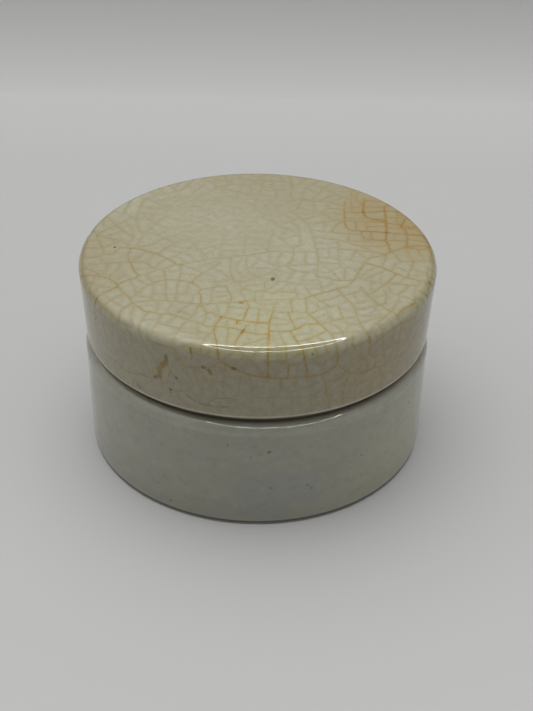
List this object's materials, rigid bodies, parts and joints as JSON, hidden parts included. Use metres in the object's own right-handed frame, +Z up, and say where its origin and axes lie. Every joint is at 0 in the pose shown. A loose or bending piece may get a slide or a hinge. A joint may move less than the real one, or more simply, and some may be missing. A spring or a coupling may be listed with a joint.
{
  "type": "lidded pot",
  "caption": "Low round ointment pot with a hollow body, a neck and a loose slip-over lid that lifts off, glazed and finely crazed.",
  "frame": {"origin": "centre of the foot ring, on the surface that the pot stands on", "axes": "+Z up along the turning axis, the way the lid lifts; +X and +Y are any two directions across the turned body"},
  "size_m": [0.08, 0.08, 0.0466],
  "materials": {
    "pot_glaze": "glossy grey-green glaze with sparse dark specks",
    "lid_glaze": "glossy cream glaze with tan-stained crazing"
  },
  "bodies": {
    "pot": {"pot": "pot_glaze"},
    "lid": {"lid": "lid_glaze"}
  },
  "joints": [
    {"name": "lid_lift", "type": "slide", "parent": "pot", "child": "lid", "axis": [0, 0, 1], "range_m": [0, 0.06]}
  ]
}
